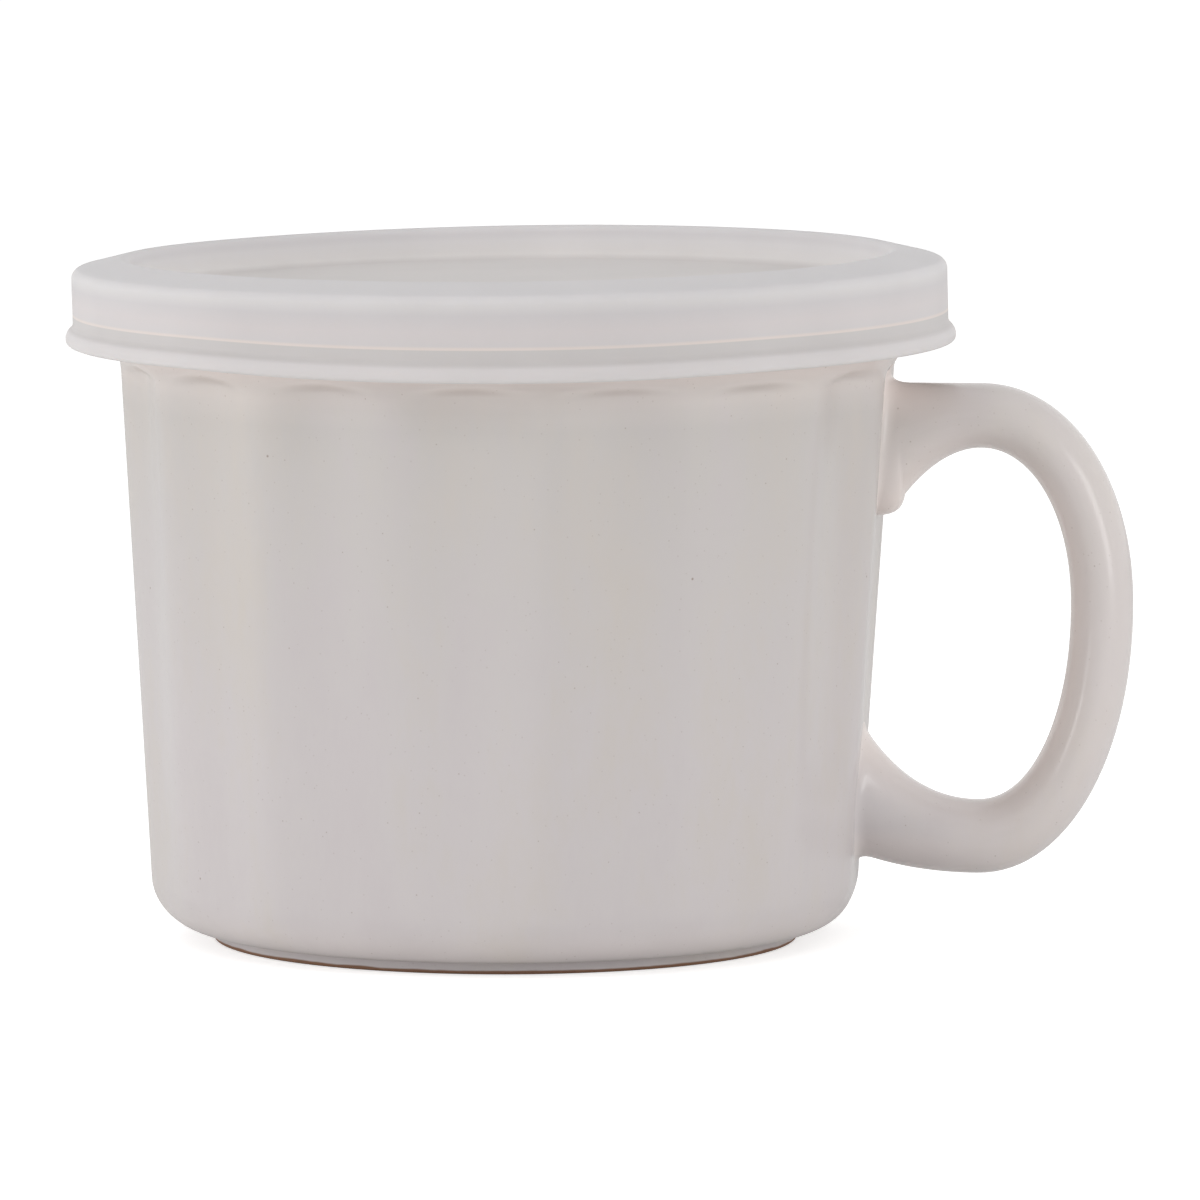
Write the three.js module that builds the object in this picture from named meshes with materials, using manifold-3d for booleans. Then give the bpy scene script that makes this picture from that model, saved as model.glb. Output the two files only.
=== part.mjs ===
// Stoneware soup mug with a press-on plastic lid.
// A fluted cup with a flared rim, an ear handle luted to its wall, and a one-piece lid that caps the rim.
// Millimetres, +Z up. The origin is on the cup's axis in the plane of its foot; the handle points along +X.

import * as THREE from 'three';
import { ParametricGeometry } from 'three/addons/geometries/ParametricGeometry.js';
import { mergeVertices } from 'three/addons/utils/BufferGeometryUtils.js';
import Module from 'manifold-3d';

// Cup, from the table up
const footRadius = 41.5; // outside of the foot ring
const footWidth = 4.5; // face of the ring that stands on the table
const footHeight = 1.8; // step of the ring under the bottom curve
const footChamfer = 0.4; // worn edge of the ring
const recessDepth = 0.8; // glazed base inside the ring, above the table
const bottomRadius = 7.2; // turn from the base into the wall
const baseRadius = 50.3; // ridges of the wall, where that turn ends
const neckRadius = 55.2; // ridges of the wall, under the flare
const rimHeight = 95; // top of the rim above the table
const lipFlare = 5.1; // outside of the rim, out from the neck
const lipThickness = 5.2; // rim, from its outside to the mouth
const lipRound = 2.4; // height of the rounded top of the rim
const lipFace = 3.4; // upright face under that round
const flareHeight = 5.2; // sweep from the face in to the neck
const wallThickness = 4.6; // wall, measured at the ridges
const floorThickness = 5.5;
const wellRadius = 10; // turn from the floor into the wall, inside

// Flutes: shallow hollows pressed into the wall, with arched tops just under the neck
const fluteCount = 16;
const fluteDepth = 0.85; // at the top of a flute
const fluteFootDepth = 0.4; // where the wall turns into the bottom
const fluteDrop = 0.5; // top of the arch, under the neck
const fluteArch = 0.9; // rise of the arch over half a flute
const fluteRunOut = 1.5; // height in which the hollow runs out at its top

// Handle: heights on its own outline, widths along Y
const handleDrop = 4.8; // top of the handle, under the neck
const handleFoot = 9.6; // lowest point, above the table
const handleReach = 33.6; // outermost point, out from the neck
const gripHeight = 48; // height of that point
const gripThickness = 8.8;
const topThickness = 9.1; // upper arm
const footThickness = 10.4; // lower arm
const handleWidth = 13.5;
const upperArm = 12.4; // upper arm, from the wall to where it bends down
const lowerArm = 16.5; // lower arm, from the wall to where it bends up
const upperRoot = 18.8; // height of the upper arm's joint on the wall
const lowerRoot = 20.2; // height of the lower arm's joint on the wall
const upperRise = 0.1; // top of the handle, up towards the wall
const lowerRise = 3; // underside of the handle, up towards the wall
const rootBow = 0.6; // share of an arm that stays level before it sweeps to the wall
const underBow = 0.72; // the same for the underside of the upper arm
const tipReach = 0.7; // that underside, pulled out from the wall so that the tip of the joint is blunt
const tipDrop = 0.6; // and down past the joint
const rootSpread = 1; // extra half-width at the joints
const rootSink = 1.8; // handle's ends before they are cut to the wall
const luteGap = 0.3; // line of slip between the handle and the wall

// Lid: a skirt with a bead outside the rim, a crown over it, and a sunken panel in the mouth
const lidWall = 1.4;
const lidClearance = 0.3; // all round the rim
const crownArch = 12; // radius of the arch over the crown, tangent to the rounds at its edges
const lidShoulder = 1.2; // outer edge of the crown
const crownRound = 2.2; // inner edge of the crown
const channelRound = 1; // inside corners of the channel over the rim
const panelDrop = 4.1; // panel, under the crown
const panelFillet = 1.2;
const bandHeight = 10.3; // plain band, from the crown down to the bead
const beadHeight = 2.1; // rounded edge that the lid is lifted by
const beadProud = 1; // bead, out from the band

// Facets
const cupSides = fluteCount * 6;
const lidSides = 60;
const curveSteps = 4;
const lidCurveSteps = 2; // half of an arc's steps
const handleSides = 18;
const handleSteps = 9; // along each quarter of the handle
const sectionFullness = 2.1; // 2 is an ellipse; more is squarer
const weld = 1e-3;

// Levels and radii that follow from the sizes above
const baseHeight = footHeight + bottomRadius;
const faceTop = rimHeight - lipRound;
const faceBottom = faceTop - lipFace;
const neckHeight = faceBottom - flareHeight;
const fluteTop = neckHeight - fluteDrop;
const floorHeight = recessDepth + floorThickness;
const lipRadius = neckRadius + lipFlare;
const mouthRadius = lipRadius - lipThickness;
const lipMiddle = lipRadius - lipThickness / 2;

const wasm = await Module();
wasm.setup();

function toSolid(geometry) {
  const shell = geometry.clone();
  shell.deleteAttribute('normal');
  shell.deleteAttribute('uv');
  const merged = mergeVertices(shell, weld);
  const vertProperties = new Float32Array(merged.attributes.position.array);
  const triVerts = new Uint32Array(merged.index.array);
  return new wasm.Manifold(new wasm.Mesh({ numProp: 3, vertProperties, triVerts }));
}

function toGeometry(solid) {
  const { vertProperties, triVerts } = solid.getMesh();
  const geometry = new THREE.BufferGeometry();
  geometry.setAttribute('position', new THREE.BufferAttribute(vertProperties, 3));
  geometry.setIndex(new THREE.BufferAttribute(triVerts, 1));
  geometry.computeVertexNormals();
  return geometry;
}

// Radius of the ridges at a height on the straight stretch of the wall
function wallRadius(height) {
  return THREE.MathUtils.mapLinear(height, baseHeight, neckHeight, baseRadius, neckRadius);
}

// Depth of the flutes at a place on the outside of the cup: deepest along the middle of each flute
function fluteHollow(angle, height) {
  const turn = (angle / (2 * Math.PI)) * fluteCount;
  const across = 2 * Math.abs(turn - Math.round(turn));
  const scallop = (1 - across ** 2) ** 2;
  const archTop = fluteTop - fluteArch * across ** 2;
  const runOut = THREE.MathUtils.smoothstep(archTop - height, 0, fluteRunOut);
  const fade = THREE.MathUtils.smoothstep(height, footHeight, baseHeight);
  const depth = THREE.MathUtils.mapLinear(height, baseHeight, fluteTop, fluteFootDepth, fluteDepth);
  return Math.max(depth, 0) * scallop * runOut * fade;
}

// Outside of the cup from the edge of the foot to the outer edge of the rim, as a path of radius and height
function cupOutside() {
  const outside = new THREE.Path();
  outside.moveTo(footRadius - footChamfer, 0);
  outside.lineTo(footRadius, footChamfer);
  outside.lineTo(footRadius, footHeight);
  outside.absarc(baseRadius - bottomRadius, baseHeight, bottomRadius, -Math.PI / 2, 0, false);
  const hollowRows = [fluteRunOut + fluteArch, fluteRunOut, fluteRunOut / 2, 0];
  for (const below of hollowRows) outside.lineTo(wallRadius(fluteTop - below), fluteTop - below);
  outside.lineTo(neckRadius, neckHeight);
  const halfway = neckHeight + flareHeight / 2;
  outside.bezierCurveTo(neckRadius, halfway, lipRadius, halfway, lipRadius, faceBottom);
  outside.lineTo(lipRadius, faceTop);
  return outside.getPoints(curveSteps);
}

// Inside of the cup from the mouth edge of the rim to the middle of the floor
function cupInside() {
  const wellTop = floorHeight + wellRadius;
  const wellEdge = wallRadius(wellTop) - wallThickness;
  const throat = neckRadius - wallThickness;
  const halfway = (faceTop + neckHeight) / 2;
  const inside = new THREE.Path();
  inside.moveTo(mouthRadius, faceTop);
  inside.bezierCurveTo(mouthRadius, halfway, throat, halfway, throat, neckHeight);
  inside.lineTo(wellEdge, wellTop);
  inside.absarc(wellEdge - wellRadius, wellTop, wellRadius, 0, -Math.PI / 2, true);
  inside.lineTo(0, floorHeight);
  return inside.getPoints(curveSteps);
}

function rimTop() {
  const curve = new THREE.EllipseCurve(lipMiddle, faceTop, lipThickness / 2, lipRound, 0, Math.PI, false);
  return curve.getPoints(curveSteps + 1);
}

// Profile points without the repeats where one stretch ends and the next starts
function joined(...stretches) {
  return stretches.flat().filter((point, i, all) => i === 0 || point.distanceTo(all[i - 1]) > weld);
}

function turned(profile, sides) {
  return new THREE.LatheGeometry(profile, sides).rotateX(Math.PI / 2);
}

// Revolved profile whose first rows, up to flutedRows, are drawn in by the flutes
function fluted(profile, flutedRows) {
  const geometry = turned(profile, cupSides);
  const position = geometry.attributes.position;
  for (let i = 0; i < position.count; i += 1) {
    const radius = Math.hypot(position.getX(i), position.getY(i));
    if (i % profile.length >= flutedRows || radius === 0) continue;
    const angle = Math.atan2(position.getY(i), position.getX(i));
    const scale = 1 - fluteHollow(angle, position.getZ(i)) / radius;
    position.setXY(i, position.getX(i) * scale, position.getY(i) * scale);
  }
  return geometry;
}

function cupGeometry() {
  const ringInside = footRadius - footWidth;
  const base = [
    new THREE.Vector2(0, recessDepth),
    new THREE.Vector2(ringInside - recessDepth, recessDepth),
    new THREE.Vector2(ringInside, 0),
  ];
  const outside = joined(base, cupOutside());
  const profile = joined(outside, rimTop(), cupInside());
  return fluted(profile, outside.length);
}

// Solid block with the cup's fluted outside, grown by the lute gap, that the handle's ends are cut to
function cupBlock() {
  const outside = cupOutside().map((point) => new THREE.Vector2(point.x + luteGap, point.y));
  const profile = joined([new THREE.Vector2(0, 0)], outside, [new THREE.Vector2(0, faceTop)]);
  return toSolid(fluted(profile, profile.length - 1));
}

// Handle outline in the XZ plane: two rails of four pieces each, from the upper joint to the lower one
function handleRails() {
  const top = neckHeight - handleDrop;
  const reach = neckRadius + handleReach;
  const topBend = wallRadius(top) + upperArm;
  const footBend = wallRadius(handleFoot) + lowerArm;
  const upperJoint = wallRadius(top - upperRoot) - rootSink;
  const lowerJoint = wallRadius(handleFoot + lowerRoot) - rootSink;

  function rail(inset, upperBow, upperEnd, upperPull, lowerEnd) {
    const level = { top: top - inset.top, foot: handleFoot + inset.foot };
    const span = reach - inset.grip;
    const topCurve = [span - topBend, level.top - gripHeight];
    const footCurve = [span - footBend, gripHeight - level.foot];
    const topPull = new THREE.Vector2(topBend - upperArm * upperBow, level.top);
    const footPull = new THREE.Vector2(footBend - lowerArm * rootBow, level.foot);
    return [
      new THREE.CubicBezierCurve(upperEnd, upperPull, topPull, new THREE.Vector2(topBend, level.top)),
      new THREE.EllipseCurve(topBend, gripHeight, ...topCurve, Math.PI / 2, 0, true),
      new THREE.EllipseCurve(footBend, gripHeight, ...footCurve, 0, -Math.PI / 2, true),
      new THREE.QuadraticBezierCurve(new THREE.Vector2(footBend, level.foot), footPull, lowerEnd),
    ];
  }

  const outer = rail(
    { top: 0, grip: 0, foot: 0 },
    rootBow,
    new THREE.Vector2(wallRadius(top) - rootSink, top + upperRise),
    new THREE.Vector2(wallRadius(top), top),
    new THREE.Vector2(wallRadius(handleFoot) - rootSink, handleFoot + lowerRise),
  );
  const inner = rail(
    { top: topThickness, grip: gripThickness, foot: footThickness },
    underBow,
    new THREE.Vector2(upperJoint, top - upperRoot),
    new THREE.Vector2(upperJoint + rootSink + tipReach, top - upperRoot - tipDrop),
    new THREE.Vector2(lowerJoint, handleFoot + lowerRoot + rootSink),
  );
  return { outer, inner };
}

function railPoint(rail, along) {
  const piece = Math.min(Math.floor(along * rail.length), rail.length - 1);
  return rail[piece].getPoint(along * rail.length - piece);
}

// Loft of rounded sections between the two rails, spread at both joints and closed at its ends
function handleLoft() {
  const { outer, inner } = handleRails();
  const rings = outer.length * handleSteps + 1;
  const rows = rings + 1; // the first and last rows close the ends

  function surface(round, along, target) {
    const row = Math.round(along * rows);
    const place = THREE.MathUtils.clamp((row - 1) / (rings - 1), 0, 1);
    const back = railPoint(outer, place);
    const front = railPoint(inner, place);
    const middle = back.clone().add(front).multiplyScalar(0.5);
    const half = back.clone().sub(middle);
    const toJoint = Math.max(Math.abs(2 * place - 1) * 2 - 1, 0);
    const halfWidth = handleWidth / 2 + rootSpread * toJoint ** 3;
    const open = row === 0 || row === rows ? 0 : 1;
    const angle = -2 * Math.PI * round;
    const squared = (value) => open * Math.sign(value) * Math.abs(value) ** (2 / sectionFullness);
    const deep = squared(Math.cos(angle));
    const wide = squared(Math.sin(angle));
    target.set(middle.x + half.x * deep, halfWidth * wide, middle.y + half.y * deep);
  }

  return new ParametricGeometry(surface, handleSides, rows);
}

function handleGeometry() {
  return toGeometry(toSolid(handleLoft()).subtract(cupBlock()));
}

function lidGeometry() {
  const channelTop = rimHeight + lidClearance;
  const crown = channelTop + lidWall;
  const skirtInside = lipRadius + lidClearance;
  const skirt = skirtInside + lidWall;
  const plug = mouthRadius - lidClearance;
  const plugInside = plug - lidWall;
  const panelTop = crown - panelDrop;
  const panelUnder = panelTop - lidWall;
  const crownMiddle = (plugInside + skirt) / 2;
  const innerLean = Math.asin((crownMiddle - plugInside - crownRound) / (crownArch - crownRound));
  const outerLean = Math.asin((skirt - lidShoulder - crownMiddle) / (crownArch - lidShoulder));
  const beadTop = crown - bandHeight;
  const lidBottom = beadTop - beadHeight;
  const half = Math.PI / 2;

  const outline = new THREE.Path();
  // Round under the crown's arch, from one direction to another, that touches the arch at its lean
  function round(lean, radius, from, to) {
    const inset = crownArch - radius;
    const height = crown - crownArch + inset * Math.cos(lean);
    outline.absarc(crownMiddle + inset * Math.sin(lean), height, radius, from, to, true);
  }

  outline.moveTo(0, panelTop);
  outline.lineTo(plugInside - panelFillet, panelTop);
  outline.absarc(plugInside - panelFillet, panelTop + panelFillet, panelFillet, -half, 0, false);
  round(-innerLean, crownRound, Math.PI, half + innerLean);
  round(0, crownArch, half + innerLean, half - outerLean);
  round(outerLean, lidShoulder, half - outerLean, 0);
  outline.lineTo(skirt, beadTop);
  outline.absellipse(skirt, beadTop - beadHeight / 2, beadProud, beadHeight / 2, half, -half, true);
  outline.lineTo(skirtInside + lidClearance, lidBottom);
  outline.lineTo(skirtInside, lidBottom + lidClearance);
  outline.absarc(skirtInside - channelRound, channelTop - channelRound, channelRound, 0, half, false);
  outline.absarc(plug + channelRound, channelTop - channelRound, channelRound, half, Math.PI, false);
  outline.lineTo(plug, panelUnder + panelFillet);
  outline.absarc(plug - panelFillet, panelUnder + panelFillet, panelFillet, 0, -half, true);
  outline.lineTo(0, panelUnder);
  return turned(joined(outline.getPoints(lidCurveSteps)).reverse(), lidSides);
}

function piece(name, geometry, material) {
  const mesh = new THREE.Mesh(geometry, new THREE.MeshStandardMaterial(material));
  mesh.name = name;
  return mesh;
}

const mug = new THREE.Group();
mug.add(
  piece('mug_body', cupGeometry(), { color: 0xcdc8c4, roughness: 0.16, metalness: 0 }),
  piece('handle', handleGeometry(), { color: 0xd0c8c4, roughness: 0.16, metalness: 0 }),
  piece('lid', lidGeometry(), { color: 0xd3d0ce, roughness: 0.42, metalness: 0 }),
);

export default mug;
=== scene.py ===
import math
import bmesh
import bpy
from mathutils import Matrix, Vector, geometry, noise


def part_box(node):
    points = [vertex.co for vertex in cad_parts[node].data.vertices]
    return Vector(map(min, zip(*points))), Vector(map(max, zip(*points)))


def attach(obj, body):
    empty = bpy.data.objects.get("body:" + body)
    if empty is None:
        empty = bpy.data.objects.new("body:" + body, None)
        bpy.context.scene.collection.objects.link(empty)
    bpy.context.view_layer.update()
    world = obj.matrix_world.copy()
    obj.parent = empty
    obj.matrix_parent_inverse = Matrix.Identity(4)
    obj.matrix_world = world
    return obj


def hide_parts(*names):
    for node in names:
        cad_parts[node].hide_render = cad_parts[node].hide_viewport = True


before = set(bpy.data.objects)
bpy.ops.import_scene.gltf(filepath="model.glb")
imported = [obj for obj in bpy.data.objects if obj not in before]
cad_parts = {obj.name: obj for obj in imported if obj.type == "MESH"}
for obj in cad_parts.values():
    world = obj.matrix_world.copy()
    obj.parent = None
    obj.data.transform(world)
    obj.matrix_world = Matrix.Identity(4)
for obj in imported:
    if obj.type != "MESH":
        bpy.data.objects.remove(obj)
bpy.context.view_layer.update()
scene = bpy.context.scene
mm = 0.001  # sizes are in millimetres unless a note says otherwise, the scene is in metres
weld = 0.0005  # points closer than this become one

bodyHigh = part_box("mug_body")[1] / mm
handleLow, handleHigh = [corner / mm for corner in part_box("handle")]
lidLow, lidHigh = [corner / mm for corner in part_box("lid")]
print("frame: rim", round(bodyHigh.z, 2), "crown", round(lidHigh.z, 2), "reach", round(handleHigh.x, 2))


# Small helpers for numbers

def between(value, low, high, first, last):
    return first + (last - first) * (value - low) / (high - low)


# Rises smoothly from 0 at the start to 1 at the end; the end may be the lower number
def smoothStep(value, start, end):
    share = min(max((value - start) / (end - start), 0), 1)
    return share * share * (3 - 2 * share)


def quadratic(first, pull, last, share):
    return first * (1 - share) ** 2 + pull * 2 * share * (1 - share) + last * share ** 2


def cubic(first, pull, lastPull, last, share):
    early = quadratic(first, pull, lastPull, share)
    late = quadratic(pull, lastPull, last, share)
    return early * (1 - share) + late * share


# Small helpers for materials

def linear(hexColour):
    parts = [int(hexColour[i:i + 2], 16) / 255 for i in (1, 3, 5)]
    return [p / 12.92 if p <= 0.04045 else ((p + 0.055) / 1.055) ** 2.4 for p in parts] + [1.0]


def emptyTree(owner):
    owner.use_nodes = True
    owner.node_tree.nodes.clear()
    return owner.node_tree


def addNode(tree, kind, inputs=None, **settings):
    node = tree.nodes.new(kind)
    for name, value in settings.items():
        setattr(node, name, value)
    for socket, value in (inputs or {}).items():
        if isinstance(value, bpy.types.NodeSocket):
            tree.links.new(value, node.inputs[socket])
        else:
            node.inputs[socket].default_value = value
    return node


def mapped(tree, value, low, high, first=0, last=1):
    inputs = {"Value": value, "From Min": low, "From Max": high, "To Min": first, "To Max": last}
    return addNode(tree, "ShaderNodeMapRange", inputs).outputs["Result"]


def mixed(tree, share, first, last):
    return addNode(tree, "ShaderNodeMix", {0: share, 6: first, 7: last}, data_type="RGBA").outputs[2]


def clouds(tree, place, size, detail=2, roughness=0.5):
    inputs = {"Vector": place, "Scale": 1 / (size * mm), "Detail": detail, "Roughness": roughness}
    return addNode(tree, "ShaderNodeTexNoise", inputs).outputs["Fac"]


def bumped(tree, height, depth, strength):
    inputs = {"Height": height, "Distance": depth * mm, "Strength": strength}
    return addNode(tree, "ShaderNodeBump", inputs).outputs["Normal"]


# A value stored on the points of the mesh
def stored(tree, name):
    return addNode(tree, "ShaderNodeAttribute", attribute_name=name).outputs["Fac"]


# Small helpers for meshes

# Half profile in the XZ plane from corners of (radius, height, rounding, cuts in the run that follows)
def drawProfile(bm, corners):
    points = [bm.verts.new((radius, 0, height)) for radius, height, rounding, cuts in corners]
    places = [point.co.copy() for point in points]
    for pair in zip(points, points[1:]):
        bm.edges.new(pair)
    for point, (radius, height, rounding, cuts) in zip(points, corners):
        if rounding:
            segments = 6 + round(2 * rounding)
            bmesh.ops.bevel(bm, geom=[point], offset=rounding, offset_type="OFFSET", segments=segments,
                            profile=0.5, affect="VERTICES", clamp_overlap=False, material=-1)
    for first, last, (radius, height, rounding, cuts) in zip(places, places[1:], corners):
        if cuts:
            straight = min(bm.edges, key=lambda edge: offRun(edge, first, last))
            bmesh.ops.subdivide_edges(bm, edges=[straight], cuts=cuts)


# How far an edge is from being the straight stretch between two corners: lying off the line counts most
def offRun(edge, first, last):
    offLineWeight = 100
    ends = [edge.verts[0].co, edge.verts[1].co]
    off = sum((geometry.intersect_point_line(end, first, last)[0] - end).length for end in ends)
    fromMiddle = ((ends[0] + ends[1]) / 2 - (first + last) / 2).length
    return off * offLineWeight + fromMiddle - edge.calc_length()


def turnProfile(bm, steps):
    bmesh.ops.spin(bm, geom=bm.verts[:] + bm.edges[:], cent=(0, 0, 0), axis=(0, 0, 1),
                   angle=2 * math.pi, steps=steps, use_merge=True)


def finishPiece(bm, name, material, body, slot, *nodes):
    bmesh.ops.remove_doubles(bm, verts=bm.verts, dist=weld)
    bmesh.ops.recalc_face_normals(bm, faces=bm.faces)
    bmesh.ops.scale(bm, vec=(mm, mm, mm), verts=bm.verts)
    for face in bm.faces:
        face.smooth = True
    mesh = bpy.data.meshes.new(name)
    bm.to_mesh(mesh)
    bm.free()
    piece = bpy.data.objects.new(name, mesh)
    scene.collection.objects.link(piece)
    mesh.materials.append(material)
    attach(piece, body)
    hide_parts(*nodes)
    print("piece", name, len(mesh.polygons), "faces")


# Camera at the photograph's angle, far off with a long lens
camera = {"azimuth": 5.84, "elevation": 5.95, "distance": 1706, "middle": 48, "aside": 13.11,
          "width": 170.27, "sensor": 36, "farEnd": 100000}


def setCamera():
    turn, rise = math.radians(camera["azimuth"]), math.radians(camera["elevation"])
    back = Vector((math.sin(turn) * math.cos(rise), -math.cos(turn) * math.cos(rise), math.sin(rise)))
    right = Vector((math.cos(turn), math.sin(turn), 0))
    middle = Vector((0, 0, camera["middle"]))
    place = middle + back * camera["distance"]
    look = middle + right * camera["aside"] - place
    lens = bpy.data.cameras.new("camera")
    lens.sensor_width = camera["sensor"]
    lens.lens = camera["sensor"] * camera["distance"] / camera["width"]
    lens.clip_end = camera["farEnd"] * mm
    viewer = bpy.data.objects.new("camera", lens)
    viewer.location = place * mm
    viewer.rotation_euler = look.to_track_quat("-Z", "Y").to_euler()
    scene.collection.objects.link(viewer)
    scene.camera = viewer


setCamera()
print("camera set")


# Glazed stoneware: clear-to-milky glaze over a speckled clay, dipped and fired glossy. The eye sees a warm
# grey white with slow pink and grey drifts, fine brown specks, and bare brown clay where the foot is wiped.
# Specks are (spacing, radius, strength).
glaze = {"low": "#d2cccc", "lowEnd": 30, "high": "#cec9c6", "highEnd": 76,
         "drift": 24, "driftRun": 0.35, "driftDetail": 6, "driftRough": 0.72, "driftMiddle": 0.5,
         "warm": "#d1cac4", "warmEnd": 0.72, "cool": "#cfc8c9", "coolEnd": 0.28,
         "blushAndPaintedLight": "#f0e5e0", "break": "#a08c80",
         "speck": "#8a7364", "speckCore": 0.4,
         "specks": ((1.3, 0.15, 0.18), (2.6, 0.14, 0.42), (8, 0.24, 0.65)),
         "clay": "#8b6a55", "clayTop": 0.55, "clayWave": 0.4, "clayWander": 6, "claySoft": 0.1,
         "rough": 0.22, "clayRough": 0.85, "index": 1.35,
         "ripple": 9, "rippleDetail": 3, "rippleRough": 0.45, "rippleDepth": 0.12, "rippleStrength": 0.6}


def glazedStoneware():
    material = bpy.data.materials.new("glazedStoneware")
    tree = emptyTree(material)
    place = addNode(tree, "ShaderNodeTexCoord").outputs["Object"]
    height = addNode(tree, "ShaderNodeSeparateXYZ", {"Vector": place}).outputs["Z"]
    rise = mapped(tree, height, glaze["lowEnd"] * mm, glaze["highEnd"] * mm)
    colour = mixed(tree, rise, linear(glaze["low"]), linear(glaze["high"]))
    # drifts are drawn out downwards, as the glaze ran
    runs = addNode(tree, "ShaderNodeMapping", {"Vector": place, "Scale": (1, 1, glaze["driftRun"])})
    drift = clouds(tree, runs.outputs["Vector"], glaze["drift"], glaze["driftDetail"], glaze["driftRough"])
    for name, end in (("warm", "warmEnd"), ("cool", "coolEnd")):
        share = mapped(tree, drift, glaze["driftMiddle"], glaze[end])
        colour = mixed(tree, share, colour, linear(glaze[name]))
    # where the coat is thin the clay blushes pink through it; the same pale blush is painted light under the
    # lid, low on the wall and on the ear's shaded sides, and is taken off as painted shade at the ear's lower
    # root;
    # over the head of each flute the glaze breaks to brown
    for name, tint in (("glazeBlushAndPaintedLight", "blushAndPaintedLight"), ("glazeBreak", "break")):
        colour = mixed(tree, stored(tree, name), colour, linear(glaze[tint]))
    # iron specks: many faint ones, some darker and a few larger
    for spacing, radius, strength in glaze["specks"]:
        cells = addNode(tree, "ShaderNodeTexVoronoi", {"Vector": place, "Scale": 1 / (spacing * mm)})
        edge = radius / spacing
        dot = mapped(tree, cells.outputs["Distance"], edge, glaze["speckCore"] * edge, 0, strength)
        colour = mixed(tree, dot, colour, linear(glaze["speck"]))
    # bare clay round the foot, up to a line that wanders a little
    wander = clouds(tree, place, glaze["clayWander"])
    line = addNode(tree, "ShaderNodeMath", {0: wander, 1: glaze["clayWave"] * mm, 2: height},
                   operation="MULTIPLY_ADD").outputs[0]
    top = glaze["clayTop"] + glaze["clayWave"] / 2
    clay = mapped(tree, line, (top + glaze["claySoft"]) * mm, (top - glaze["claySoft"]) * mm)
    colour = mixed(tree, clay, colour, linear(glaze["clay"]))
    rough = mapped(tree, clay, 0, 1, glaze["rough"], glaze["clayRough"])
    ripple = clouds(tree, place, glaze["ripple"], glaze["rippleDetail"], glaze["rippleRough"])
    bump = bumped(tree, ripple, glaze["rippleDepth"], glaze["rippleStrength"])
    shader = addNode(tree, "ShaderNodeBsdfPrincipled", {
        "Base Color": colour, "Roughness": rough, "IOR": glaze["index"], "Normal": bump})
    addNode(tree, "ShaderNodeOutputMaterial", {"Surface": shader.outputs["BSDF"]})
    return material


# Low-density polyethylene, injection moulded: milky, satin and a little translucent. What stands close behind
# it shows through as light and shade, painted into its colour in bands: painted light over the rim and the
# bead, painted shade over the gap between them and over the rim's rounded top, a painted warm line where the
# rim's lower edge touches, painted light at the edge of the crown, and the most painted light in the wall of
# the recess, lit from both its sides.
milk = {"paintedBands": ((84.3, "#dcd8d7"), (84.9, "#d9d5d5"), (86.3, "#dad6d6"), (86.8, "#d0cccb"),
                  (88.7, "#d0cccb"), (88.85, "#e5dbd6"), (89.05, "#e2d9d5"), (89.3, "#d8d3d3"),
                  (91.2, "#dad4d4"), (93.4, "#d5d1d2"), (94.7, "#dcd9d9"), (96.0, "#dddadb")),
        "recess": ((92.7, "#dcd7d5"), (93.4, "#e9e5e3"), (95.5, "#e4e1e1"), (96.4, "#dddadb")),
        "cloud": 18, "cloudLow": 0.3, "cloudHigh": 0.7, "darkest": 0.98, "palest": 1.02,
        "smoothest": 0.55, "roughest": 0.67, "grain": 0.9, "grainDepth": 0.03, "grainStrength": 0.4,
        "index": 1.3, "through": 0.6, "deep": 1.5, "scatter": (1.0, 0.95, 0.9)}


# Painted light and shade at heights of the lid as moulded
def heightRamp(tree, level, stops):
    low, high = stops[0][0], stops[-1][0]
    ramp = addNode(tree, "ShaderNodeValToRGB", {"Fac": mapped(tree, level, low, high)})
    for place, (height, colour) in enumerate(stops):
        if 0 < place < len(stops) - 1:
            ramp.color_ramp.elements.new(between(height, low, high, 0, 1))
        stop = ramp.color_ramp.elements[place if place < len(stops) - 1 else -1]
        stop.color = linear(colour)
    return ramp.outputs["Color"]


def milkyPolyethylene():
    material = bpy.data.materials.new("milkyPolyethylene")
    tree = emptyTree(material)
    place = addNode(tree, "ShaderNodeTexCoord").outputs["Object"]
    level = stored(tree, "mouldHeight")
    # painted light and shade in bands by height, and painted light in the wall of the recess
    paintedBands = heightRamp(tree, level, milk["paintedBands"])
    recess = heightRamp(tree, level, milk["recess"])
    colour = mixed(tree, stored(tree, "inRecess"), paintedBands, recess)
    cloud = clouds(tree, place, milk["cloud"])
    mottle = mapped(tree, cloud, milk["cloudLow"], milk["cloudHigh"], milk["darkest"], milk["palest"])
    colour = addNode(tree, "ShaderNodeVectorMath", {0: colour, "Scale": mottle}, operation="SCALE").outputs[0]
    rough = mapped(tree, cloud, 0, 1, milk["smoothest"], milk["roughest"])
    bump = bumped(tree, clouds(tree, place, milk["grain"]), milk["grainDepth"], milk["grainStrength"])
    shader = addNode(tree, "ShaderNodeBsdfPrincipled", {
        "Base Color": colour, "Roughness": rough, "IOR": milk["index"], "Normal": bump,
        "Subsurface Weight": milk["through"], "Subsurface Radius": milk["scatter"],
        "Subsurface Scale": milk["deep"] * mm})
    addNode(tree, "ShaderNodeOutputMaterial", {"Surface": shader.outputs["BSDF"]})
    return material


stoneware = glazedStoneware()
polyethylene = milkyPolyethylene()
print("materials made")
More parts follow.
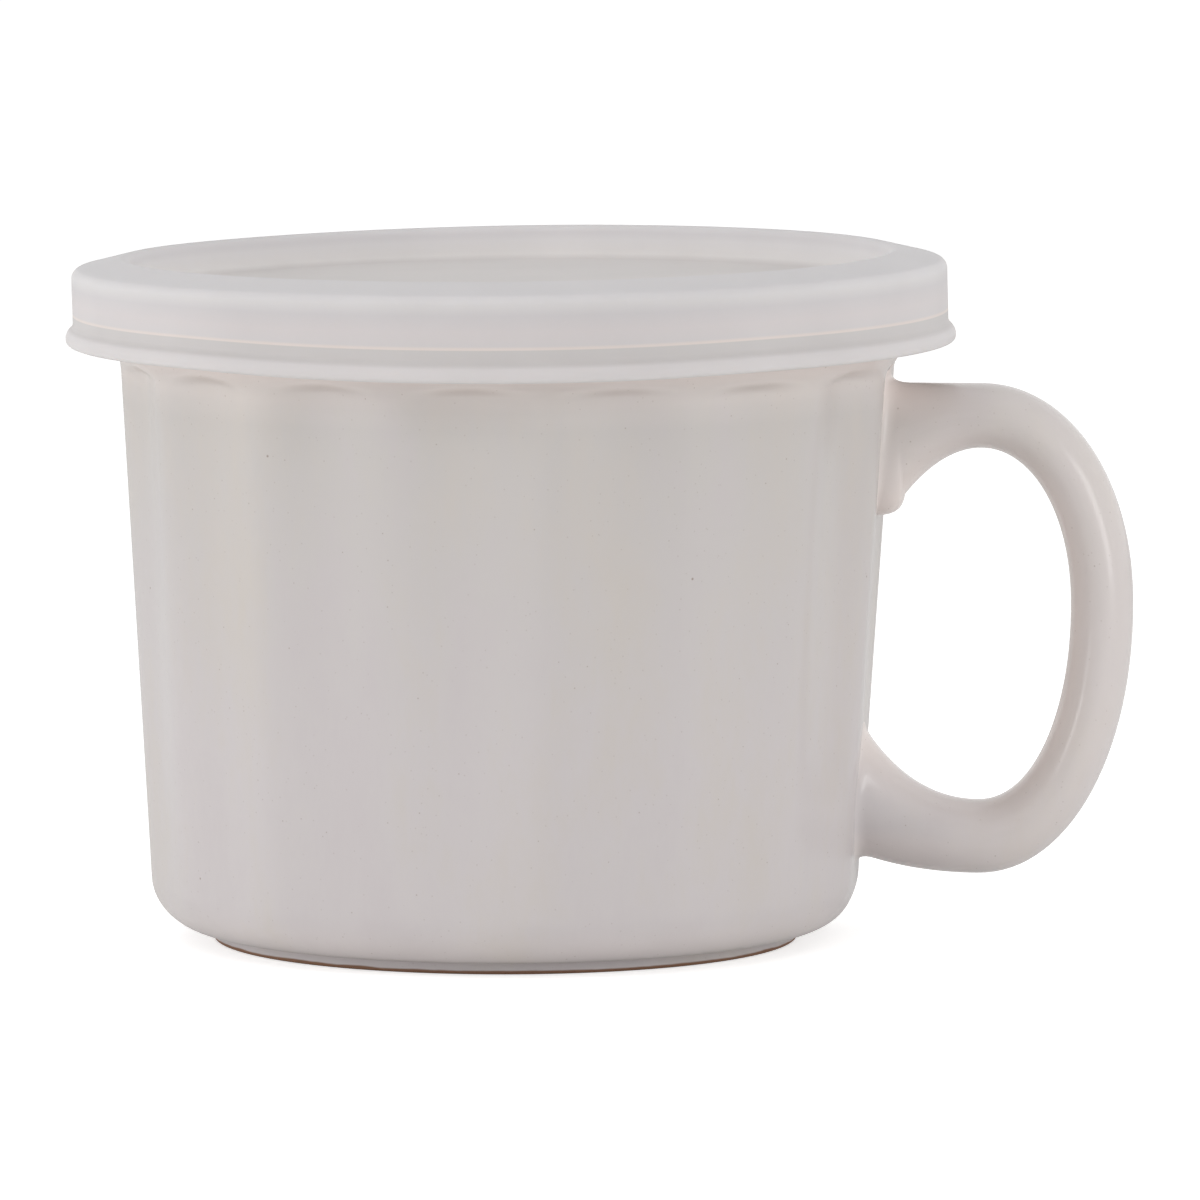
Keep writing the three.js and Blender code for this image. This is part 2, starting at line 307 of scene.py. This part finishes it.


# Cup: a thrown and pressed wall with arched flutes, a flared lip and a turned foot ring.
# Blushes and painted light are (strength, height where it starts, height where it is full): paler under the
# lid, where its shade falls, and low on the wall, which turns down towards the floor.
cup = {"footRadius": 41.5, "footWidth": 4.5, "footHeight": 1.8, "footRound": 0.45, "footTopRound": 0.4,
       "recess": 0.8, "recessRound": 0.5, "ringRound": 0.3, "bottomRound": 7.2, "baseRadius": 50.4,
       "neckRadius": 55.05, "neckHeight": 82.6, "neckRound": 1.84, "lipThickness": 5.2, "lipRound": 2.4,
       "flareLow": 84.6, "flareHigh": 87.2, "flareRound": 2.3, "mouthLow": 89.6, "mouthRound": 2.4,
       "throatTop": 84.4, "throatRound": 3.6, "wall": 4.6, "floor": 6.3, "wellRound": 10, "margin": 1,
       "flutes": 16, "fluteDepth": 1.9, "fluteFootDepth": 0.65, "fluteTop": 83.05, "fluteArch": 0.9,
       "fluteRunOut": 1.9, "unevenHeight": 0.5, "unevenDepth": 0.15, "unevenStep": 1.7,
       "unevenSeed": (4.2, 0.5),
       "break": 0.2, "blushesAndPaintedLight": ((0.4, 77, 82), (0.5, 81.5, 84), (0.25, 8, 3)),
       "lean": 0.0063, "leanFrom": 53.5, "steps": 288}
baseHeight = cup["footHeight"] + cup["bottomRound"]
fluteTop = cup["fluteTop"]
lipRadius = bodyHigh.y


def wallRadius(height):
    return between(height, baseHeight, cup["neckHeight"], cup["baseRadius"], cup["neckRadius"])


# How far a flute is pressed in at an angle and height, and how much its head thins the glaze
def fluteAt(angle, height):
    turn = angle / (2 * math.pi) * cup["flutes"]
    number = round(turn)
    across = 2 * abs(turn - number)
    odd = noise.noise((number % cup["flutes"] * cup["unevenStep"], *cup["unevenSeed"]))
    scallop = (1 - across ** 2) ** 2
    archTop = fluteTop - cup["fluteArch"] * across ** 2 + odd * cup["unevenHeight"] * (1 - across)
    runOut = smoothStep(archTop - height, 0, cup["fluteRunOut"])
    fade = smoothStep(height, cup["footHeight"], baseHeight)
    depth = between(height, baseHeight, fluteTop, cup["fluteFootDepth"], cup["fluteDepth"])
    hollow = max(depth, 0) * (1 + odd * cup["unevenDepth"]) * scallop * runOut * fade
    edge = 4 * runOut * (1 - runOut) * scallop ** 2
    return hollow, edge


def outerRadius(angle, height):
    return wallRadius(height) - fluteAt(angle, height)[0]


# The fired cup leans a hair towards its handle
def leanAt(height):
    return cup["lean"] * (height - cup["leanFrom"])


def makeCup():
    bm = bmesh.new()
    thin = bm.verts.layers.float.new("glazeBreak")
    blushAndPaintedLight = bm.verts.layers.float.new("glazeBlushAndPaintedLight")
    ring = cup["footRadius"] - cup["footWidth"]
    mouth = lipRadius - cup["lipThickness"]
    throat = cup["neckRadius"] - cup["wall"]
    wellEdge = wallRadius(cup["floor"]) - cup["wall"]
    archLow = fluteTop - cup["fluteArch"] - cup["fluteRunOut"] - cup["margin"]
    drawProfile(bm, [
        (0, cup["recess"], 0, 6),
        (ring - cup["recess"], cup["recess"], cup["recessRound"], 0),
        (ring, 0, cup["ringRound"], 0),
        (cup["footRadius"], 0, cup["footRound"], 0),
        (cup["footRadius"], cup["footHeight"], cup["footTopRound"], 0),
        (wallRadius(cup["footHeight"]), cup["footHeight"], cup["bottomRound"], 26),
        (wallRadius(archLow), archLow, 0, 15),
        (cup["neckRadius"], cup["neckHeight"], 0, 0),
        (cup["neckRadius"], cup["flareLow"], cup["neckRound"], 0),
        (lipRadius, cup["flareHigh"], cup["flareRound"], 0),
        (lipRadius, bodyHigh.z, cup["lipRound"], 0),
        (mouth, bodyHigh.z, cup["lipRound"], 0),
        (mouth, cup["mouthLow"], cup["mouthRound"], 0),
        (throat, cup["throatTop"], cup["throatRound"], 8),
        (wellEdge, cup["floor"], cup["wellRound"], 8),
        (0, cup["floor"], 0, 0)])
    turnProfile(bm, cup["steps"])
    for vert in bm.verts:
        radius = math.hypot(vert.co.x, vert.co.y)
        height = vert.co.z
        fluted = cup["footHeight"] < height < fluteTop + cup["margin"]
        pastFoot = radius > cup["footRadius"] + cup["margin"]
        onOutside = radius > wallRadius(height) - cup["wall"] / 2 or height < cup["floor"]
        if fluted and pastFoot and onOutside:
            hollow, edge = fluteAt(math.atan2(vert.co.y, vert.co.x), height)
            vert.co.xy *= 1 - hollow / radius
            vert[thin] = edge * cup["break"]
            # painted light: paler under the lid, where its shade falls, with some real pink near the rim, and
            # paler low on the wall, which faces down into shade
            vert[blushAndPaintedLight] = sum(most * smoothStep(height, start, full) for most, start, full in cup["blushesAndPaintedLight"])
        vert.co.x += leanAt(height)
    finishPiece(bm, "cup", stoneware, "mug", "glazed_stoneware", "mug_body")


makeCup()


# Handle: a pulled ear of clay, its ends thumbed out onto the wall. Places near the tip under the upper root
# are (out from the wall, up). Fades, rises, falls and outs are (where it begins, where it is full).
ear = {"drop": 3.17, "footLift": 0.28, "gripHeight": 48.23, "gripThick": 8.8, "topThick": 9.1,
       "footThick": 10.4, "width": 13.2, "upperArm": 12.4, "lowerArm": 16.5, "upperRoot": 18.8,
       "lowerRoot": 20.2, "upperRise": 0.1, "lowerRise": 3.2, "bow": 0.6, "underBow": 0.45, "sink": 1.8,
       "tipShare": 0.3, "tipStart": (2.7, 2.9), "tipPull": (3.7, 4.2), "tipUnder": (2.5, -0.3),
       "upperSpread": 0.1, "lowerSpread": 1.2, "fullness": 2.05, "sweepFullness": 2.07,
       "fillet": 1.4, "thumb": 1.1, "blunt": 0.85, "topFillet": 1.7, "lowFillet": 0.9, "bedded": 0.08,
       # blush, painted light on the inner side and in the upper corner, painted shade at the lower root
       "blushAndPaintedLight": 0.29, "gripBlush": 0.06, "innerPaintedLight": 0.41, "innerGripPaintedLight": 0.1, "innerLoss": 0.5,
       "cornerPaintedLight": 0.65, "footPaintedShade": 0.35, "gripFade": (30, 14), "innerFade": (62, 70),
       "cornerRise": (73, 79), "cornerOut": (68, 58), "footRise": (14, 18), "footFall": (32, 20),
       "footOut": (76, 60), "leanOut": (74, 57),
       "sides": 48, "steps": 96, "filletSteps": 8, "halvings": 40}
earTop = cup["neckHeight"] - ear["drop"]
earFoot = handleLow.z + ear["footLift"]
topBend = wallRadius(earTop) + ear["upperArm"]
footBend = wallRadius(earFoot) + ear["lowerArm"]
tipHeight = earTop - ear["upperRoot"]


# End of a rail, sunk in the wall
def joint(height, past):
    return Vector((wallRadius(height) - ear["sink"], height + past))


# A point off the wall, this far out from it and up from a height
def onWall(height, out, up):
    return Vector((wallRadius(height) + out, height + up))


outerRail = {"top": earTop, "foot": earFoot, "reach": handleHigh.x, "bow": ear["bow"],
             "start": joint(earTop, ear["upperRise"]), "startPull": onWall(earTop, 0, 0),
             "end": joint(earFoot, ear["lowerRise"])}
innerRail = {"top": earTop - ear["topThick"], "foot": earFoot + ear["footThick"],
             "reach": handleHigh.x - ear["gripThick"], "bow": ear["underBow"],
             "start": onWall(tipHeight, *ear["tipStart"]), "startPull": onWall(tipHeight, *ear["tipPull"]),
             "tip": (joint(tipHeight, 0), onWall(tipHeight, *ear["tipUnder"])),
             "end": joint(earFoot + ear["lowerRoot"], ear["sink"])}


# Point on one rail of the ear: upper arm with its blunt tip, upper quarter, lower quarter, lower arm
def railPoint(rail, along):
    part = min(int(along * 4), 3)
    share = along * 4 - part
    if part == 0 and "tip" in rail:
        if share < ear["tipShare"]:
            return quadratic(*rail["tip"], rail["start"], share / ear["tipShare"])
        share = (share - ear["tipShare"]) / (1 - ear["tipShare"])
    if part == 0:
        topPull = Vector((topBend - ear["upperArm"] * rail["bow"], rail["top"]))
        return cubic(rail["start"], rail["startPull"], topPull, Vector((topBend, rail["top"])), share)
    if part == 3:
        footPull = Vector((footBend - ear["lowerArm"] * ear["bow"], rail["foot"]))
        return quadratic(Vector((footBend, rail["foot"])), footPull, rail["end"], share)
    bend, level = (topBend, rail["top"]) if part == 1 else (footBend, rail["foot"])
    quarter = (share if part == 1 else 1 - share) * math.pi / 2
    out = math.sin(quarter) ** (2 / ear["sweepFullness"])
    up = math.cos(quarter) ** (2 / ear["sweepFullness"])
    return Vector((bend + (rail["reach"] - bend) * out, ear["gripHeight"] + (level - ear["gripHeight"]) * up))


def earPoint(turn, along):
    back = railPoint(outerRail, along)
    front = railPoint(innerRail, along)
    middle, half = (back + front) / 2, (back - front) / 2
    toJoint = max(abs(2 * along - 1) * 2 - 1, 0)
    spread = ear["upperSpread"] if along < 0.5 else ear["lowerSpread"]
    halfWidth = ear["width"] / 2 + spread * toJoint ** 3
    deep = math.copysign(abs(math.cos(turn)) ** (2 / ear["fullness"]), math.cos(turn))
    wide = math.copysign(abs(math.sin(turn)) ** (2 / ear["fullness"]), math.sin(turn))
    return Vector((middle.x + half.x * deep, halfWidth * wide, middle.y + half.y * deep))


def fromWall(point):
    return math.hypot(point.x, point.y) - outerRadius(math.atan2(point.y, point.x), point.z)


# Place along the ear, from one end inwards, where its side stands this far off the wall
def alongAt(turn, away, end):
    inside, outside = end, 0.25 if end == 0 else 0.75
    for _ in range(ear["halvings"]):
        half = (inside + outside) / 2
        if fromWall(earPoint(turn, half)) < away:
            inside = half
        else:
            outside = half
    return outside


# Share of the fillet at a joint: most on top, and little under the upper arm, where the tip is pressed blunt
def filletShare(turn, end):
    over = max(math.cos(turn), 0) ** 2
    under = max(-math.cos(turn), 0) ** 2
    if end == 0:
        return 1 - ear["blunt"] * under + ear["topFillet"] * over
    return 1 + ear["lowFillet"] * over


# Point of a fillet that leaves the ear at its start and runs out flat on the wall beyond where they meet
def thumbed(start, meet, centre, spread, share):
    angle, middleAngle = math.atan2(meet.y, meet.x), math.atan2(centre.y, centre.x)
    radius = outerRadius(angle, meet.z)
    away = Vector(((angle - middleAngle) * radius, meet.z - centre.z)).normalized() * spread
    angle += away.x / radius
    height = meet.z + away.y
    under = outerRadius(angle, height) - ear["bedded"]
    flat = Vector((math.cos(angle) * under, math.sin(angle) * under, height))
    return quadratic(start, meet, flat, share)


# How pale and pink the ear is: a pink blush over it all and a little more in the grip, painted light on its
# inner side, which the body shades, and in the upper corner under the lid, and painted shade at the lower
# root
def earBlushAndPaintedLight(turn, point):
    grip = smoothStep(abs(point.z - ear["gripHeight"]), *ear["gripFade"])
    # painted light in the corner under the lid, and painted shade at the lower root by the wall
    corner = smoothStep(point.z, *ear["cornerRise"]) * smoothStep(point.x, *ear["cornerOut"])
    foot = smoothStep(point.z, *ear["footRise"]) * smoothStep(point.z, *ear["footFall"])
    foot *= smoothStep(point.x, *ear["footOut"])
    # painted light on the inner side, which faces the body and is shaded by it, less towards the top
    inner = max(-math.cos(turn), 0) * (1 - ear["innerLoss"] * smoothStep(point.z, *ear["innerFade"]))
    most = ear["blushAndPaintedLight"] + ear["gripBlush"] * grip + (ear["innerPaintedLight"] + ear["innerGripPaintedLight"] * grip) * inner
    return most + ear["cornerPaintedLight"] * corner - ear["footPaintedShade"] * foot


def makeEar():
    bm = bmesh.new()
    turnOf = bm.verts.layers.float.new("turn")
    blushAndPaintedLight = bm.verts.layers.float.new("glazeBlushAndPaintedLight")
    bmesh.ops.create_circle(bm, segments=ear["sides"], radius=1)
    turns = []
    for vert in bm.verts:
        vert[turnOf] = math.atan2(vert.co.y, vert.co.x)
        turns.append(vert[turnOf])
    ends = {}
    for end in (0, 1):
        meets = {turn: earPoint(turn, alongAt(turn, 0, end)) for turn in turns}
        centre = sum(meets.values(), Vector()) / len(meets)
        starts = {turn: alongAt(turn, ear["fillet"] * filletShare(turn, end), end) for turn in turns}
        ends[end] = starts, meets, centre
    lastRow = ear["steps"] + 2 * ear["filletSteps"]

    def ringPoint(turn, row):
        step = row - ear["filletSteps"]
        if 0 <= step <= ear["steps"]:
            share = step / ear["steps"]
            return earPoint(turn, ends[0][0][turn] * (1 - share) + ends[1][0][turn] * share)
        end = 0 if step < 0 else 1
        starts, meets, centre = ends[end]
        share = (ear["filletSteps"] - (row if end == 0 else lastRow - row)) / ear["filletSteps"]
        spread = ear["thumb"] * filletShare(turn, end)
        return thumbed(earPoint(turn, starts[turn]), meets[turn], centre, spread, share)

    ringEdges = bm.edges[:]
    for vert in bm.verts:
        vert.co = ringPoint(vert[turnOf], 0)
    for row in range(1, lastRow + 1):
        grown = bmesh.ops.extrude_edge_only(bm, edges=ringEdges)["geom"]
        fresh = {item for item in grown if isinstance(item, bmesh.types.BMVert)}
        edges = [item for item in grown if isinstance(item, bmesh.types.BMEdge)]
        ringEdges = [edge for edge in edges if fresh.issuperset(edge.verts)]
        for vert in fresh:
            vert.co = ringPoint(vert[turnOf], row)
    for vert in bm.verts:
        vert[blushAndPaintedLight] = earBlushAndPaintedLight(vert[turnOf], vert.co)
        vert.co.x += leanAt(vert.co.z) * smoothStep(vert.co.x, *ear["leanOut"])
    bmesh.ops.holes_fill(bm, edges=[edge for edge in bm.edges if edge.is_boundary])
    finishPiece(bm, "ear", stoneware, "mug", "glazed_stoneware", "handle")


makeEar()


# Lid: one soft moulding pressed over the rim, seated a little askew. Angles are in degrees.
cap = {"panel": 92.6, "panelRound": 1.7, "plug": 54.5, "plugWall": 1.3, "plugRound": 1.0, "topWall": 0.85,
       "recessLean": 0.5, "crest": 54.0, "crestRise": 1.15, "crestRound": 1.3,
       "skirt": 61.95, "skirtWall": 1.05, "outerFall": 0.75, "shoulder": 1.1, "channelRound": 1.2,
       "beadTop": 86.4, "beadNeck": 0.6, "beadNeckRound": 0.5, "beadSlope": 0.4, "beadRound": 0.7,
       "leadIn": 0.3, "leadRise": 0.4, "leadRound": 0.2, "recessFull": 0.6, "recessEnd": 1.6,
       "tilt": 0.66, "lowTilt": 0.25, "aside": 0.28, "lowAside": 0.5, "drop": 0.05,
       "lift": 0.7, "ease": 0.35, "sag": 0.61, "sagFrom": 0.72, "sagFull": 1.05,
       "dip": 0.4, "dipAt": 135, "dipPower": 4, "wave": 0.12, "waveTurns": 1.3, "waveSeed": 7.7, "steps": 256}


def makeCap():
    bm = bmesh.new()
    level = bm.verts.layers.float.new("mouldHeight")
    inRecess = bm.verts.layers.float.new("inRecess")
    crown, bottom, beadOut = lidHigh.z, lidLow.z, lidHigh.y
    plugInside = cap["plug"] - cap["plugWall"]
    channel = crown - cap["topWall"]
    inside = cap["skirt"] - cap["skirtWall"]
    underside = cap["panel"] - cap["plugWall"]
    drawProfile(bm, [
        (0, cap["panel"], 0, 12),
        (plugInside - cap["recessLean"], cap["panel"], cap["panelRound"], 0),
        (cap["crest"], crown + cap["crestRise"], cap["crestRound"], 8),
        (cap["skirt"], crown - cap["outerFall"], cap["shoulder"], 6),
        (cap["skirt"], cap["beadTop"] + cap["beadNeck"], cap["beadNeckRound"], 0),
        (beadOut, cap["beadTop"] - cap["beadSlope"], cap["beadRound"], 0),
        (beadOut, bottom, cap["beadRound"], 0),
        (inside + cap["leadIn"], bottom, cap["leadRound"], 0),
        (inside, bottom + cap["leadRise"], cap["leadRound"], 4),
        (inside, channel, cap["channelRound"], 3),
        (cap["plug"], channel, cap["plugRound"], 0),
        (cap["plug"], underside, cap["plugRound"], 12),
        (0, underside, 0, 0)])
    turnProfile(bm, cap["steps"])
    for vert in bm.verts:
        angle = math.atan2(vert.co.y, vert.co.x)
        radius = math.hypot(vert.co.x, vert.co.y)
        vert[level] = vert.co.z
        vert[inRecess] = smoothStep(radius, plugInside + cap["recessEnd"], plugInside + cap["recessFull"])
        high = smoothStep(vert.co.z, bottom, crown)
        # leans to the left, with its lower edge up but for the front and its top dipped at the back left
        lean = math.radians(cap["lowTilt"] + (cap["tilt"] - cap["lowTilt"]) * high)
        around = cap["waveTurns"] * math.cos(angle), cap["waveTurns"] * math.sin(angle)
        sway = cap["wave"] * noise.noise((*around, cap["waveSeed"]))
        front = max(-vert.co.y / beadOut, 0)
        sag = cap["sag"] * smoothStep(front, cap["sagFrom"], cap["sagFull"])
        skew = cap["lift"] * (1 - cap["ease"] * front) - sag
        dip = cap["dip"] * max(math.cos(angle - math.radians(cap["dipAt"])), 0) ** cap["dipPower"]
        vert.co.z += sway * radius / beadOut - cap["drop"]
        vert.co.z += math.sin(lean) * vert.co.x + skew * (1 - high) - dip * high
        vert.co.x += cap["lowAside"] + (cap["aside"] - cap["lowAside"]) * high
    finishPiece(bm, "cap", polyethylene, "lid", "lid_plastic", "lid")


makeCap()


# Studio: pale floor, two tall softboxes, a low one at the left front, a broad one overhead and an even fill
# from all round. Its sizes and places are in metres.
studio = {"floor": "#f4f4f3", "size": 12, "under": 0.00005, "lift": 0.6, "mirrorLift": 0.12, "fill": 0.49,
          "white": 1.0, "sky": "#ffffff"}
softboxes = {"keyLeft": {"at": (-1.2, -0.53, 0.25), "size": (0.5, 0.9), "power": 6.8},
             "leftFront": {"at": (-1.03, -1.05, 0.16), "size": (0.35, 0.3), "power": 2},
             "fillRight": {"at": (1.13, -0.63, 0.25), "size": (0.5, 0.9), "power": 7.0},
             "overhead": {"at": (0, 0.1, 1.5), "size": (1.4, 1.4), "power": 2.5}}


# One value for rays from the camera, one for rays off glossy or clear surfaces and one for rays that light
def byRay(tree, toCamera, toMirror, toLight):
    path = addNode(tree, "ShaderNodeLightPath").outputs
    mirror = addNode(tree, "ShaderNodeMath", {0: path["Is Glossy Ray"], 1: path["Is Transmission Ray"]},
                     operation="MAXIMUM").outputs[0]
    level = mapped(tree, mirror, 0, 1, toLight, toMirror)
    return mapped(tree, path["Is Camera Ray"], 0, 1, level, toCamera)


def makeFloor():
    bm = bmesh.new()
    bmesh.ops.create_grid(bm, x_segments=1, y_segments=1, size=studio["size"] / 2)
    mesh = bpy.data.meshes.new("floor")
    bm.to_mesh(mesh)
    bm.free()
    floor = bpy.data.objects.new("floor", mesh)
    floor.location.z = -studio["under"]
    scene.collection.objects.link(floor)
    # pale paper, lifted to white where the camera sees it
    paper = bpy.data.materials.new("palePaper")
    tree = emptyTree(paper)
    matt = addNode(tree, "ShaderNodeBsdfDiffuse", {"Color": linear(studio["floor"])})
    lift = byRay(tree, studio["lift"], studio["mirrorLift"], 0)
    glow = addNode(tree, "ShaderNodeEmission", {"Strength": lift})
    both = addNode(tree, "ShaderNodeAddShader", {0: matt.outputs[0], 1: glow.outputs[0]})
    addNode(tree, "ShaderNodeOutputMaterial", {"Surface": both.outputs[0]})
    mesh.materials.append(paper)


def makeLights():
    world = bpy.data.worlds.new("studio")
    tree = emptyTree(world)
    level = byRay(tree, studio["white"], studio["white"], studio["fill"])
    sky = addNode(tree, "ShaderNodeBackground", {"Color": linear(studio["sky"]), "Strength": level})
    addNode(tree, "ShaderNodeOutputWorld", {"Surface": sky.outputs[0]})
    scene.world = world
    for name, box in softboxes.items():
        lamp = bpy.data.lights.new(name, "AREA")
        lamp.shape = "RECTANGLE"
        lamp.size, lamp.size_y = box["size"]
        lamp.energy = box["power"]
        holder = bpy.data.objects.new(name, lamp)
        holder.location = box["at"]
        aim = Vector((0, 0, camera["middle"] * mm)) - holder.location
        holder.rotation_euler = aim.to_track_quat("-Z", "Y").to_euler()
        scene.collection.objects.link(holder)


makeFloor()
makeLights()
scene.view_settings.view_transform = "Standard"
print("studio lit")
